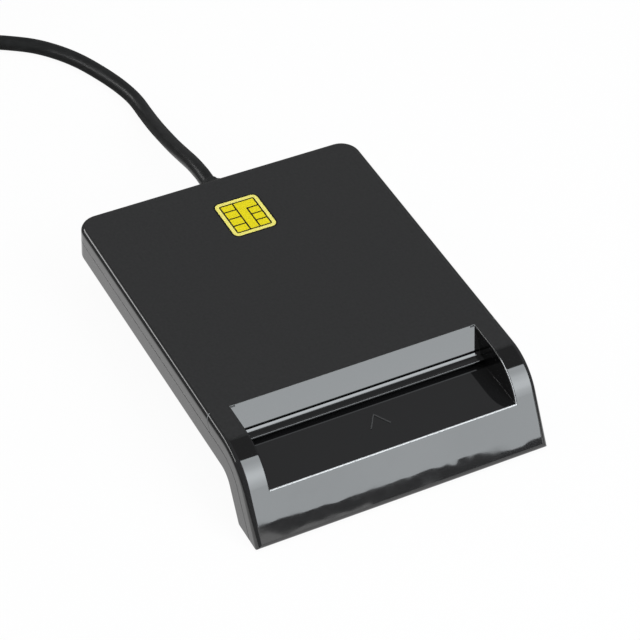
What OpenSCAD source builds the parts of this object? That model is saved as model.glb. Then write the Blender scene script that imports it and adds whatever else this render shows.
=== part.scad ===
// Smart card reader: a flat plate that bends down at the front into a sloping foot, with a thumb
// recess and the card's slot in the bend. Millimetres, +Z up, the front towards -Y, standing on Z = 0.
// Depths are measured inwards from the outer skin: down from the top face, then square to the bend
// and to the front face.

/* [Body] */
// Width of the housing
body_w = 68; // [67:0.5:76]
// Length of the housing from the rear face to the toe
body_l = 90; // [89:0.5:100]
// Height of the top face over the underside of the foot
foot_h = 17; // [16.5:0.1:19]
// Thickness of the plate
plate_t = 8.5; // [8.4:0.1:9.5]
// Slope of the front face to the ground, in degrees
front_tilt = 57.6122; // [55:0.0001:60]
// Outer radius of the bend
bend_r = 12.5; // [12:0.1:13.2]
// Radius of the rear corners seen from above
corner_r = 4.5; // [4:0.1:6]
// Radius along the upper edges
edge_r = 1.3; // [0.8:0.1:1.5]
// Radius along the lower edges
under_r = 1; // [0.5:0.1:1.2]
// Radius of the toe
toe_r = 1; // [0.6:0.1:1.4]

/* [Shells] */
// Wall of both covers
wall = 1.5; // [1.3:0.1:1.7]
// Thickness of the bottom cover's floor
base_wall = 1.4; // [1.2:0.1:1.5]
// Depth of the parting line
split_d = 3.55; // [3.3:0.05:3.8]
// Height of the shadow gap along the parting line
seam_h = 0.2; // [0.1:0.05:0.3]
// Depth of the shadow gap into the wall
seam_in = 0.7; // [0.4:0.1:0.9]
// Thickness of the bottom cover's tongue
tongue_t = 0.8; // [0.6:0.1:0.9]
// Height of the bottom cover's tongue
tongue_h = 1.2; // [0.8:0.1:1.4]

/* [Thumb recess and slot] */
// Distance from the toe back to the top of the sloping bezel
recess_l = 24.2; // [23:0.1:25.5]
// Width of the solid cheek on each side of the recess
cheek_w = 5.5; // [5.3:0.1:6]
// Depth of the recess floor, which is the level of the card's underside
card_d = 6.9; // [6.8:0.05:7]
// Height of the slot's mouth
mouth_h = 1.5; // [1.3:0.1:1.7]
// Radius along the lower edge of the bezel
bezel_r = 0.7; // [0.4:0.1:0.9]
// Radius along the front lip, the cheeks and the top of the bezel
lip_r = 0.4; // [0.2:0.1:0.5]
// Wall of the recess inside the housing
lining_t = 1.2; // [1:0.1:1.3]
// Thickness of the recess floor
floor_t = 0.8; // [0.6:0.1:0.9]
// Distance from the bezel's top forward to the rear edge of the recess floor
floor_in = 4.4; // [4.2:0.1:5]

/* [Card] */
// Width of the card
card_w = 53.98; // [53.9:0.01:54.03]
// Thickness of the card
card_t = 0.76; // [0.7:0.01:0.84]
// Distance from the rear face to the inserted card's edge
card_stop = 8; // [7.9:0.1:8.5]
// Distance from the card's edge to its first row of contacts
row_in = 11.25; // [11:0.05:11.5]
// Distance between the two rows of contacts
row_pitch = 7.62; // [7.6:0.01:7.7]
// Distance between neighbouring contacts
pad_pitch = 2.54; // [2.5:0.01:2.6]
// Distance from the card's middle to its first contact
pad_off = 6.91; // [6.8:0.01:7]

/* [Feet] */
// Diameter of the rubber feet
pad_d = 5; // [4:0.1:5.2]
// Thickness of the rubber feet
pad_t = 1; // [0.8:0.1:1.1]
// How far the rubber feet stand proud
pad_proud = 0.4; // [0.3:0.1:0.5]
// Distance from the side of the housing to the front feet
pad_in = 10; // [9:0.5:12]
// Distance from the side of the housing to the rear legs
leg_side_in = 14; // [13:0.5:16]
// Distance from the rear face to the rear legs
leg_in = 11; // [10:0.5:12]
// Diameter of a rear leg where it leaves the cover
leg_d = 10; // [9:0.5:11]
// Diameter of a rear leg at its foot
leg_end_d = 8; // [7.8:0.1:8.6]

/* [Board] */
// Depth of the board's upper face
board_d = 3; // [2.9:0.1:3.1]
// Thickness of the board
board_t = 1; // [0.8:0.1:1]
// Distance from the side of the housing to the board
board_in = 10; // [9:0.5:11]
// Distance from the rear face to the board's front edge
board_l = 50; // [48:0.5:51]
// Distance from the board's sides to its screws
hang_in = 3; // [2.5:0.1:4]
// Distance from the rear face to the rear board screws
hang_rear_in = 16; // [15:0.5:18]
// Distance from the board's front edge to its front screws
hang_front_in = 4; // [3:0.5:5]

/* [Contact block] */
// Distance of the contact block's ends from the housing's sides
block_in = 19; // [18.5:0.5:20]
// Thickness of the contact block
block_t = 1.95; // [1.9:0.05:2]
// Length of one contact arm
arm_l = 5.2; // [5:0.1:5.6]
// Width of one contact arm
arm_w = 1.2; // [1:0.1:1.3]
// Thickness of one contact arm
arm_t = 0.25; // [0.2:0.01:0.3]
// How far a contact reaches below the block
arm_drop = 0.6; // [0.5:0.05:0.65]

/* [Screws] */
// Diameter of the housing screws' heads
head_d = 4; // [3.6:0.1:4.1]
// Height of the housing screws' heads
head_h = 1.2; // [1:0.1:1.2]
// Diameter of the housing screws' shafts
screw_d = 2.2; // [2:0.1:2.3]
// Diameter of the bosses in the top cover
boss_d = 4.6; // [4.4:0.1:4.8]
// Distance from the side of the housing to the front screws
front_in = 20; // [19:0.5:22]
// Distance from the side of the housing to the rear screws
screw_in = 5.5; // [5.4:0.1:6]

/* [Cord] */
// Diameter of the cord
cord_d = 3.6; // [3.4:0.1:3.7]
// Depth of the cord's middle
cord_depth = 4.25; // [4.2:0.05:4.35]
// Diameter of the strain relief's outer flange
flange_d = 6.4; // [6:0.1:6.6]
// Thickness of the strain relief's outer flange
flange_t = 1.2; // [1:0.1:1.4]
// Length of the strain relief's sleeve behind the flange
sleeve_l = 1.8; // [1.6:0.1:2.4]
// Diameter of the inner leads
lead_d = 0.7; // [0.6:0.05:0.72]

/* [Coil] */
// Mean radius of the coil's loops
coil_r = 19; // [18.5:0.5:20]
// Distance between neighbouring loops
coil_pitch = 4.1; // [4.1:0.1:4.4]
// Distance between neighbouring layers
coil_step = 4.15; // [4.15:0.05:4.4]
// Number of layers
coil_layers = 4; // [4]
// Number of loops in a layer
coil_turns = 2; // [2]
// Sides of the cord's tube in the coil
coil_sides = 6; // [6]
// Rings in one loop
coil_rings = 24; // [24]
// Width of the wire tie
tie_w = 3; // [2:0.5:4]
// Thickness of the wire tie
tie_t = 0.8; // [0.6:0.1:1]

/* [Plug] */
// Width of the plug's metal shell
shell_w = 12; // [11.8:0.1:12.2]
// Height of the plug's metal shell
shell_h = 4.5; // [4.4:0.1:4.6]
// Length of the plug's metal shell outside the grip
shell_l = 12; // [11.5:0.1:12.5]
// Thickness of the plug's sheet metal
shell_t = 0.3; // [0.25:0.01:0.35]
// Width of the plug's grip
grip_w = 15.6; // [15:0.1:16.5]
// Height of the plug's grip
grip_h = 8; // [7.4:0.1:8.4]
// Length of the plug's grip
grip_l = 19; // [17:0.5:22]
// Length of the tapered boot in front of the grip
boot_l = 9; // [7:0.5:10]

/* [Hidden] */
$fn = 96;

// Overrun of every cut
over = 1;
// Clearances: between pieces that only lie close, that fit snugly, and that turn
gap = 0.1;
snug = 0.05;
run = 0.05;
// How far the corner cutter reaches past the corner, as a share of its distance from the centre
kite_share = 1.5;

// Places that several solids share are rounded to this step
step = 0.001;
function snap(v) = round(v / step) * step;

// Planes and points of the housing's side view
rear_y = body_l / 2;
foot_z = pad_proud;
top_z = foot_z + foot_h;
bend_z = top_z - bend_r;
toe_back = (bend_r - cos(front_tilt) * (foot_z - bend_z)) / sin(front_tilt);
bend_y = snap(toe_r - toe_r / tan(front_tilt / 2) - rear_y + toe_back);
toe_y = bend_y - toe_back;
slope_l = 2 * foot_h;
half_w = body_w / 2;
block_w = body_w - 2 * block_in;
pad_span = body_w - 2 * pad_in;
leg_span = body_w - 2 * leg_side_in;
front_span = body_w - 2 * front_in;

// Height at a depth below the top face, and the front face's place at a height
function at(depth) = top_z - depth;
function face_y(z) = toe_y + (z - foot_z) / tan(front_tilt);

// Thumb recess
recess_hw = half_w - cheek_w;
floor_z = at(card_d);
mouth_z = floor_z + mouth_h;
bezel_y = -rear_y + recess_l;
function bezel_at(z) = bezel_y - (top_z - z) / tan(front_tilt);
floor_y = bezel_y - floor_in;
bezel_back = lining_t / sin(front_tilt);

// Inside of the covers
ceiling_d = wall;
base_d = plate_t - base_wall;
card_edge_y = rear_y - card_stop;
rail_clear = 0.16;
rail_t = 1.2;

// Board and what it carries
board_w = body_w - 2 * board_in;
hang_span = board_w - 2 * hang_in;
board_front_y = rear_y - board_l;
board_rear_y = rear_y - wall - tongue_t - 3 * gap;
under_board = board_d + board_t;
block_d = under_board + block_t;
card_top_d = card_d - card_t;

// Removes the sharp corner p between edges that leave it at angles a1 and a2, down to a radius r
module blunt(p, a1, a2, r) {
    half = (a2 - a1) / 2;
    mid = (a1 + a2) / 2;
    c = p + r / sin(half) * [cos(mid), sin(mid)];
    t1 = p + r / tan(half) * [cos(a1), sin(a1)];
    t2 = p + r / tan(half) * [cos(a2), sin(a2)];
    difference() {
        polygon([c, c + kite_share * (t1 - c), c + kite_share * (p - c), c + kite_share * (t2 - c)]);
        translate(c) circle(r);
    }
}

// Extrusion across the width of an outline drawn in the side view
module across(w, mid = 0) {
    translate([mid - w / 2, 0, 0]) rotate([90, 0, 90]) linear_extrude(w) children();
}

// What is left outside a corner's radius
module corner_cut(r) {
    difference() {
        square(r + over);
        circle(r);
    }
}

// Cross section of a slab between two depths, with its upper and lower edges rounded
module section(hw, d0, d1, r0, r1) {
    difference() {
        translate([-hw, -d1]) square([2 * hw, d1 - d0]);
        for (side = [0, 1]) mirror([side, 0]) {
            if (r0 > 0) translate([hw - r0, -d0 - r0]) corner_cut(r0);
            if (r1 > 0) translate([hw - r1, -d1 + r1]) mirror([0, 1]) corner_cut(r1);
        }
    }
}

// The same edge seen from the corner's centre outwards
module rim(w, d0, d1, r0, r1) {
    difference() {
        translate([0, -d1]) square([w, d1 - d0]);
        if (r0 > 0) translate([w - r0, -d0 - r0]) corner_cut(r0);
        if (r1 > 0) translate([w - r1, -d1 + r1]) mirror([0, 1]) corner_cut(r1);
    }
}

// Sweeps a cross section from a place on the plate, round the bend and down the front slope
module bent(back) {
    translate([0, back, top_z]) rotate([90, 0, 0]) linear_extrude(back - bend_y) children();
    translate([0, bend_y, bend_z]) {
        rotate([180, -90, 0]) rotate_extrude(angle = front_tilt)
            translate([bend_r, 0]) mirror([1, -1]) children();
        rotate([front_tilt, 0, 0]) translate([0, 0, bend_r]) rotate([90, 0, 0])
            linear_extrude(slope_l) children();
    }
}

// A layer of the housing between two depths, drawn in from the sides and the rear by an inset
module layer(inset, d0, d1, r0 = 0, r1 = 0) {
    hw = half_w - inset;
    cr = corner_r - inset;
    y = rear_y - corner_r;
    bent(y) section(hw, d0, d1, r0, r1);
    translate([0, y, top_z]) across(2 * (hw - cr)) rim(cr, d0, d1, r0, r1);
    translate([hw - cr, y, top_z]) rotate_extrude(angle = 90) rim(cr, d0, d1, r0, r1);
    translate([cr - hw, y, top_z]) rotate([0, 0, 90]) rotate_extrude(angle = 90) rim(cr, d0, d1, r0, r1);
}

// Everything above a height, and everything below it
module above(z) {
    translate([-body_w, -body_l, z]) cube([2 * body_w, 2 * body_l, 2 * foot_h]);
}
module below(z) {
    translate([-body_w, -body_l, z - 2 * foot_h]) cube([2 * body_w, 2 * body_l, 2 * foot_h]);
}

// The toe's rounding and the space under the foot
module toe_cut() {
    below(foot_z);
    across(body_w + 2 * over) blunt([toe_y, foot_z], 0, front_tilt, toe_r);
}

// Two places mirrored across the middle
module pair(span) {
    for (side = [-1, 1]) translate([side * span / 2, 0, 0]) children();
}

// Recess outline in the side view, out to the open air
module recess_outline() {
    polygon([
        [bezel_at(top_z + over), top_z + over],
        [bezel_at(mouth_z), mouth_z],
        [bezel_at(mouth_z) + wall + lining_t, mouth_z],
        [bezel_at(mouth_z) + wall + lining_t, floor_z],
        [-rear_y - over, floor_z],
        [-rear_y - over, top_z + over]
    ]);
    blunt([bezel_at(mouth_z), mouth_z], 0, front_tilt, bezel_r);
    blunt([bezel_y, top_z], front_tilt - 180, 0, lip_r);
    blunt([face_y(floor_z), floor_z], front_tilt - 180, 0, lip_r);
}

// Outline of the recess walls inside the housing
module tub_outline() {
    polygon([
        [bezel_y + bezel_back, top_z],
        [bezel_at(mouth_z) + bezel_back, mouth_z],
        [floor_y, mouth_z],
        [floor_y, floor_z - floor_t],
        [-rear_y, floor_z - floor_t],
        [-rear_y, top_z]
    ]);
}

// The side walls' end behind the slot's mouth
module tub_end_outline() {
    translate([floor_y - lining_t, floor_z])
        square([bezel_at(mouth_z) + bezel_back - floor_y + lining_t, mouth_h]);
}

// Places of the housing screws: bottom end, meeting face of the bosses, and top of the pilot hole
rear_screw_y = rear_y - screw_in;
rear_screw_span = body_w - 2 * screw_in;
foot_split_y = toe_y + split_d / sin(front_tilt);
heel_y = toe_y + plate_t / sin(front_tilt);
front_screw_y = (foot_split_y + heel_y) / 2;
sink_h = head_h + gap;
seat_t = base_wall;
front_joint_z = foot_z + sink_h + seat_t;
rear_seat_z = at(plate_t) + sink_h;
rear_joint_z = rear_seat_z + seat_t;
sink_d = head_d + 4 * gap;
pilot_d = screw_d - 4 * gap;
hole_d = screw_d + 3 * gap;
front_pilot_top = floor_z - floor_t - wall;
rear_pilot_top = at(ceiling_d + lining_t);
lower_boss_d = sink_d + 2 * floor_t;

// Hanging posts under the ceiling for the board
hang_ys = [rear_y - hang_rear_in, board_front_y + hang_front_in];
post_d = 5;
board_screw_d = 2;
board_head_d = 3.6;
board_head_h = 1;
board_pilot_top = at(ceiling_d + gap);
module hang_places() {
    for (y = hang_ys) for (side = [-1, 1]) translate([side * hang_span / 2, y, 0]) children();
}

// Opening in the rear wall round the strain relief's groove
groove_d = 4.5;
relief_w = 8;
relief_h = 5.2;
relief_t = 1.4;
module cord_notch() {
    w = groove_d + 2 * gap;
    translate([0, rear_y + over, at(cord_depth)]) rotate([90, 0, 0]) cylinder(d = w, h = wall + 2 * over);
    translate([-w / 2, rear_y - wall - over, at(cord_depth)])
        cube([w, wall + 2 * over, cord_depth - split_d + tongue_h + gap]);
}

// Ribs that hold a card down behind the bezel, and the cross rib that ties them
hold_rib_t = 1;
hold_clear = 0.3;
hold_shares = [-0.84, -0.42, 0, 0.42, 0.84];
hold_back_y = board_front_y - 2 * hold_rib_t;
module hold_ribs() {
    under = at(card_top_d) + hold_clear;
    reach = 2 * max(hold_shares) * recess_hw;
    for (share = hold_shares) across(hold_rib_t, share * recess_hw) polygon([
        [hold_back_y, at(ceiling_d)],
        [hold_back_y, under + lip_r],
        [hold_back_y - lip_r, under],
        [bezel_at(mouth_z) + bezel_back, under],
        [bezel_at(mouth_z), mouth_z],
        [bezel_y, at(ceiling_d)]
    ]);
    translate([-reach / 2, hold_back_y - 5 * hold_rib_t, under + mouth_h])
        cube([reach, hold_rib_t, at(ceiling_d) - under - mouth_h]);
}

// Stiffening ribs between the rear posts and along the middle, clear of the board's parts
module ceiling_ribs() {
    for (side = [-1, 1])
        translate([side * (board_w / 2 + wall) - hold_rib_t / 2, board_front_y, at(board_d)])
            cube([hold_rib_t, board_l - card_stop - wall, board_d - ceiling_d]);
}

module top_cover() {
    color([0.09, 0.09, 0.09]) difference() {
        union() {
            difference() {
                union() {
                    layer(0, 0, split_d - seam_h, edge_r, 0);
                    layer(seam_in, split_d - seam_h - snug, split_d);
                }
                intersection() {
                    layer(wall, ceiling_d, split_d + over);
                    above(foot_z + base_wall);
                }
            }
            // recess walls, held inside the outer skin
            intersection() {
                union() {
                    across(2 * (recess_hw + lining_t)) tub_outline();
                    across(2 * (recess_hw + lining_t)) tub_end_outline();
                }
                layer(wall / 2, wall / 2, plate_t);
            }
            intersection() {
                union() {
                    pair(rear_screw_span) translate([0, rear_screw_y, rear_joint_z])
                        cylinder(d = boss_d, h = at(ceiling_d) - rear_joint_z);
                    pair(front_span) translate([0, front_screw_y, front_joint_z])
                        cylinder(d = boss_d, h = floor_z - floor_t - front_joint_z);
                    hang_places() translate([0, 0, at(board_d)])
                        cylinder(d = post_d, h = board_d - ceiling_d);
                    hold_ribs();
                    ceiling_ribs();
                }
                layer(wall / 2, wall / 2, plate_t);
            }
        }
        across(2 * recess_hw) recess_outline();
        // rounded inner edges of the cheeks, down to the lip
        intersection() {
            bent(bezel_y) for (side = [0, 1]) mirror([side, 0])
                translate([recess_hw + lip_r, -lip_r]) mirror([1, 0]) corner_cut(lip_r);
            above(floor_z);
        }
        toe_cut();
        cord_notch();
        hang_places() translate([0, 0, at(board_d) - over])
            cylinder(d = board_screw_d - 4 * gap, h = board_pilot_top - at(board_d) + over - gap);
        pair(rear_screw_span) translate([0, rear_screw_y, rear_joint_z - over])
            cylinder(d = pilot_d, h = rear_pilot_top - rear_joint_z + over);
        pair(front_span) translate([0, front_screw_y, front_joint_z - over])
            cylinder(d = pilot_d, h = front_pilot_top - front_joint_z + over);
    }
}

// Places of the rubber feet
leg_y = rear_y - leg_in;
module foot_places() {
    pair(pad_span) translate([0, front_screw_y, 0]) children();
    pair(leg_span) translate([0, leg_y, 0]) children();
}

// Bed ribs under the card and guide rails beside it
bed_shares = [-0.92, -0.3, 0.3, 0.92];
bed_rib_t = 1.2;
rail_x = card_w / 2 + rail_clear;
rail_front_y = bezel_at(mouth_z) + bezel_back + 2 * gap;
module card_guides() {
    l = card_edge_y - rail_front_y;
    for (share = bed_shares)
        translate([share * recess_hw - bed_rib_t / 2, rail_front_y, at(base_d + base_wall / 2)])
            cube([bed_rib_t, l - leg_end_d, base_d + base_wall / 2 - card_d]);
    for (side = [0, 1]) mirror([side, 0, 0]) translate([rail_x, rail_front_y, at(base_d + base_wall / 2)])
        cube([rail_t, l, base_d + base_wall / 2 - card_top_d + card_t]);
}

module bottom_cover() {
    lip_out = wall + gap;
    lip_in = lip_out + tongue_t;
    color([0.1, 0.1, 0.1]) difference() {
        union() {
            difference() {
                layer(0, split_d, plate_t, 0, under_r);
                intersection() {
                    layer(wall, split_d - over, base_d);
                    above(foot_z + base_wall);
                }
            }
            // tongue inside the top cover's wall
            intersection() {
                difference() {
                    layer(lip_out, split_d - tongue_h, split_d + lip_r);
                    layer(lip_in, split_d - tongue_h - over, split_d + over);
                }
                above(foot_z + base_wall + gap);
            }
            // web that joins the tongue's root to the wall
            intersection() {
                difference() {
                    layer(wall / 2, split_d, split_d + tongue_h);
                    layer(lip_in, split_d - over, split_d + tongue_h + over);
                }
                above(foot_z + base_wall / 2);
            }
            intersection() {
                union() {
                    pair(rear_screw_span) translate([0, rear_screw_y, at(plate_t)])
                        cylinder(d = lower_boss_d, h = rear_joint_z - at(plate_t));
                    pair(front_span) translate([0, front_screw_y, foot_z])
                        cylinder(d = lower_boss_d, h = front_joint_z - foot_z);
                }
                layer(0, split_d, plate_t, 0, under_r);
            }
            pair(leg_span) translate([0, leg_y, foot_z])
                cylinder(d1 = leg_end_d, d2 = leg_d, h = foot_h - plate_t + base_wall / 2);
            card_guides();
        }
        toe_cut();
        cord_notch();
        translate([-relief_w / 2 - gap, rear_y - wall - relief_t - gap, at(base_d)])
            cube([relief_w + 2 * gap, relief_t + gap, base_d]);
        // room under the recess floor
        translate([-recess_hw - lining_t - gap, bend_y - 2 * wall, floor_z - floor_t - snug])
            cube([2 * (recess_hw + lining_t + gap), rail_front_y - bend_y + 2 * wall - gap, plate_t]);
        foot_places() translate([0, 0, foot_z - over])
            cylinder(d = pad_d + 2 * snug, h = over + pad_t - pad_proud);
        // legs cored from inside
        leg_core_z = foot_z + pad_t - pad_proud + base_wall;
        pair(leg_span) translate([0, leg_y, leg_core_z])
            cylinder(d1 = leg_end_d - 2 * wall, d2 = leg_d - 2 * wall, h = at(base_d) - leg_core_z);
        pair(rear_screw_span) translate([0, rear_screw_y, at(plate_t) - over]) {
            cylinder(d = sink_d, h = sink_h + over);
            cylinder(d = hole_d, h = sink_h + seat_t + 2 * over);
        }
        pair(front_span) translate([0, front_screw_y, foot_z - over]) {
            cylinder(d = sink_d, h = sink_h + over);
            cylinder(d = hole_d, h = sink_h + seat_t + 2 * over);
        }
    }
}

module rubber_feet() {
    color([0.05, 0.05, 0.05]) foot_places() cylinder(d = pad_d, h = pad_t);
}

// Pan head screw pointing up, with its head's underside at the origin and a cross recess
module screw(d, hd, hh, l) {
    slot_w = hd / 6;
    slot_l = hd / 1.8;
    difference() {
        union() {
            translate([0, 0, -hh]) cylinder(d = hd, h = hh);
            cylinder(d = d, h = l - d / 2);
            translate([0, 0, l - d / 2]) cylinder(d1 = d, d2 = d / 2, h = d / 2);
        }
        for (turn = [0, 90]) rotate([0, 0, turn])
            translate([-slot_l / 2, -slot_w / 2, -hh - over]) cube([slot_l, slot_w, over + hh / 1.8]);
    }
}

// The threads bite, so the shafts are drawn at the pilot's size where they pass into the bosses
module housing_screws() {
    core = pilot_d;
    color("silver") {
        pair(rear_screw_span) translate([0, rear_screw_y, rear_seat_z])
            screw(core, head_d, head_h, rear_pilot_top - rear_seat_z - gap);
        pair(front_span) translate([0, front_screw_y, foot_z + sink_h])
            screw(core, head_d, head_h, front_pilot_top - foot_z - sink_h - gap);
    }
}

// Contact places: root of each arm, numbered as on the card
arm_root_r = 0.45;
window_gap = 0.2;
block_rear_y = card_edge_y + 2 * bed_rib_t - lining_t;
row_ys = [card_edge_y - row_in, card_edge_y - row_in - row_pitch];
block_front_y = row_ys[1] - arm_l - block_t;
function tip_y(i) = row_ys[floor(i / 4)];
function arm_x(i) = pad_off - (i % 4) * pad_pitch;
function root_y(i) = tip_y(i) - arm_l + arm_root_r;
root_z = at(under_board + arm_root_r + 2 * arm_t + snug);
pin_d = 0.6;
pin_in = 1.5;
pin_out = 0.3;

// Place of the card switch
switch_gap = 8;
switch_x = block_w / 2 + switch_gap;
switch_pin_d = 1.2;
switch_y = card_edge_y - switch_pin_d * 0.8;

module main_board() {
    color([0.05, 0.35, 0.18]) difference() {
        translate([-board_w / 2, board_front_y, at(under_board)])
            cube([board_w, board_rear_y - board_front_y, board_t]);
        // open round the strain relief, the cord and its leads
        translate([-relief_w / 2 - 2 * gap, card_edge_y, at(under_board) - over])
            cube([relief_w / 2 + 2 * gap + header_x - plug_l / 2, card_stop, board_t + 2 * over]);
        hang_places() translate([0, 0, at(under_board) - over])
            cylinder(d = board_screw_d + 2 * gap, h = board_t + 2 * over);
        for (i = [0:7]) translate([arm_x(i), root_y(i) - pin_in, at(under_board) - over])
            cylinder(d = pin_d + 2 * snug, h = board_t + 2 * over);
    }
}

module board_screws() {
    shaft_h = board_pilot_top - at(under_board) - 3 * gap;
    color("silver") hang_places() translate([0, 0, at(under_board)])
        screw(board_screw_d - 4 * gap, board_head_d, board_head_h, shaft_h);
}

pocket_shares = [-0.345, 0.345];
module contact_block() {
    w = arm_w + 2 * window_gap;
    y0 = block_front_y;
    y1 = card_edge_y;
    stop_t = block_rear_y - y1;
    color([0.12, 0.12, 0.13]) difference() {
        union() {
            across(block_w) polygon([
                [y0, at(under_board)],
                [y0, at(block_d) + block_t / 2],
                [y0 + block_t / 2, at(block_d)],
                [y1, at(block_d)],
                [y1 + stop_t, at(block_d)],
                [y1 + stop_t, at(under_board)]
            ]);
            // stop for the card's edge, open round the cord's notch
            translate([-block_w / 2, y1, at(card_d)]) cube([block_w, stop_t, card_d - under_board]);
        }
        for (i = [0:7]) {
            translate([arm_x(i) - w / 2, root_y(i), at(block_d) - over])
                cube([w, arm_l + 2 * window_gap, block_t + 2 * over]);
            translate([arm_x(i) - w / 2, root_y(i), root_z]) rotate([0, 90, 0])
                cylinder(r = arm_root_r + run, h = w);
            translate([arm_x(i) - w / 2, root_y(i) - arm_root_r - run, at(block_d) - over])
                cube([w, arm_root_r + run, root_z - at(block_d) + over]);
            // groove and hole of the soldered tail
            translate([arm_x(i) - w / 2, root_y(i) - pin_in - pin_d, at(under_board) - arm_t - snug])
                cube([w, pin_in + pin_d + over / 4, arm_t + snug + over]);
            translate([arm_x(i), root_y(i) - pin_in, at(block_d) - over])
                cylinder(d = pin_d + 2 * snug, h = block_t + 2 * over);
        }
        // weight-saving pockets beside the contacts
        for (share = pocket_shares)
            translate([share * block_w - block_t, row_ys[1] - arm_l, at(block_d) - over])
                cube([2 * block_t, row_pitch + arm_l, over + block_t / 2]);
    }
}

// One soldered tail: a flat strip over the arm's root and a pin through the board
module contact_tails() {
    color("gold") for (i = [0:7]) {
        translate([arm_x(i) - arm_w / 2, root_y(i) - pin_in - pin_d / 2, at(under_board) - arm_t])
            cube([arm_w, pin_in + pin_d / 2, arm_t]);
        translate([arm_x(i), root_y(i) - pin_in, at(block_d) + block_t / 3])
            cylinder(d = pin_d, h = block_t * 2 / 3 + board_t + pin_out);
    }
}

// One sprung arm: a curled root, a blade sloping down and a rounded tip
module contact(i) {
    tip_z = at(block_d + arm_drop) + arm_root_r;
    reach = arm_l - arm_root_r;
    color("gold") translate([arm_x(i), root_y(i), 0]) {
        difference() {
            union() {
                across(arm_w) polygon([
                    [0, root_z + arm_t],
                    [0, root_z],
                    [reach, tip_z - arm_t],
                    [reach, tip_z]
                ]);
                translate([0, 0, root_z]) rotate([0, 90, 0])
                    cylinder(r = arm_root_r, h = arm_w, center = true);
                translate([0, reach, tip_z]) rotate([0, 90, 0])
                    cylinder(r = arm_root_r, h = arm_w, center = true);
            }
            translate([0, reach, tip_z]) rotate([0, 90, 0])
                cylinder(r = arm_root_r - arm_t / 1.5, h = 2 * arm_w, center = true);
            translate([-arm_w, reach - arm_root_r, tip_z + arm_t / 3])
                cube([2 * arm_w, 3 * arm_root_r, arm_root_r]);
        }
    }
}
module contact_1() { contact(0); }
module contact_2() { contact(1); }
module contact_3() { contact(2); }
module contact_4() { contact(3); }
module contact_5() { contact(4); }
module contact_6() { contact(5); }
module contact_7() { contact(6); }
module contact_8() { contact(7); }

// Card switch: a moulded base with a pin, and a lever that the card's edge pushes back
switch_t = 1.9;
switch_plate_t = 0.5;
lever_l = 6.2;
lever_w = 1.6;
lever_t = 0.8;
finger_d = 1.2;
blade_shares = [0.2, 0.6];
blade_in = 3;
module switch_base() {
    l = 3 * switch_pin_d;
    blade_y = switch_y + blade_in;
    color([0.85, 0.83, 0.75]) {
        translate([switch_x - l / 2, switch_y - l / 2, at(under_board + switch_plate_t)])
            cube([l, l, switch_plate_t]);
        translate([switch_x, switch_y, at(under_board + switch_plate_t + lever_t + 2 * gap)])
            cylinder(d = switch_pin_d, h = lever_t + 3 * gap);
        // two fixed blades beside the lever's end stop
        for (share = blade_shares)
            translate([switch_x - lever_l * share, blade_y, at(under_board + switch_t)])
                cube([switch_plate_t, switch_plate_t, switch_t]);
        translate([switch_x - lever_l * max(blade_shares), blade_y, at(under_board + switch_plate_t)])
            cube([lever_l * max(blade_shares), switch_plate_t, switch_plate_t]);
        translate([switch_x - switch_plate_t, switch_y + l / 2 - snug, at(under_board + switch_plate_t)])
            cube([2 * switch_plate_t, blade_in - l / 2 + 2 * snug, switch_plate_t]);
    }
}
module switch_lever() {
    z = at(under_board + switch_plate_t + gap + lever_t);
    color([0.75, 0.2, 0.15]) difference() {
        union() {
            translate([switch_x, switch_y, z]) cylinder(d = 2 * switch_pin_d, h = lever_t);
            translate([switch_x - lever_l, switch_y - lever_w / 2, z]) cube([lever_l, lever_w, lever_t]);
            translate([switch_x - lever_l, switch_y - lever_w / 2 + finger_d / 2, at(card_d) + gap])
                cylinder(d = finger_d, h = z - at(card_d) + lever_t - gap);
        }
        translate([switch_x, switch_y, z - over])
            cylinder(d = switch_pin_d + 2 * run, h = lever_t + 2 * over);
    }
}

// Flat chip package with bent legs on two sides, standing on the board, and its dot for leg 1
chip_l = 10.3;
chip_w = 5.3;
chip_h = 1.2;
leg_count = 8;
leg_pitch = 1.27;
leg_w = 0.4;
leg_l = 1;
leg_t = 0.15;
chip_y = board_front_y + 1.4 * chip_w;
module chip_leg() {
    cube([leg_w, leg_l / 2 + leg_t, leg_t]);
    translate([0, leg_l / 2, 0]) cube([leg_w, leg_t, chip_h / 2]);
    translate([0, leg_l / 2, chip_h / 2 - leg_t]) cube([leg_w, leg_l / 2 + gap, leg_t]);
}
module reader_chip() {
    first_x = -leg_pitch * (leg_count - 1) / 2 - leg_w / 2;
    color([0.08, 0.08, 0.09]) translate([0, chip_y, at(board_d)]) {
        difference() {
            translate([-chip_l / 2, -chip_w / 2, gap]) cube([chip_l, chip_w, chip_h - gap]);
            translate([-chip_l / 2 + leg_l, -chip_w / 4, chip_h - gap]) cylinder(d = leg_l, h = over);
        }
        for (side = [0, 1]) mirror([0, side, 0]) for (i = [0:leg_count - 1])
            translate([first_x + i * leg_pitch, -chip_w / 2 - leg_l, 0]) chip_leg();
    }
}

module crystal() {
    l = 5;
    w = 3.2;
    rim_w = 0.2;
    color("silver") translate([chip_l, chip_y - w / 2, at(board_d)]) {
        cube([l, w, chip_h / 3]);
        translate([rim_w, rim_w, 0]) cube([l - 2 * rim_w, w - 2 * rim_w, chip_h]);
    }
}

// Small chip resistors and capacitors in a row before the chip and one behind it
passive_shares = [-0.75, 1];
module board_passives() {
    l = 1.6;
    w = 0.8;
    h = 0.5;
    color([0.6, 0.5, 0.35]) for (i = [0:3]) for (share = passive_shares)
        translate([2 * i * l - chip_l / 2, chip_y + share * (chip_w + w) - w / 2, at(board_d)])
            cube([l, w, h]);
}

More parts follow.
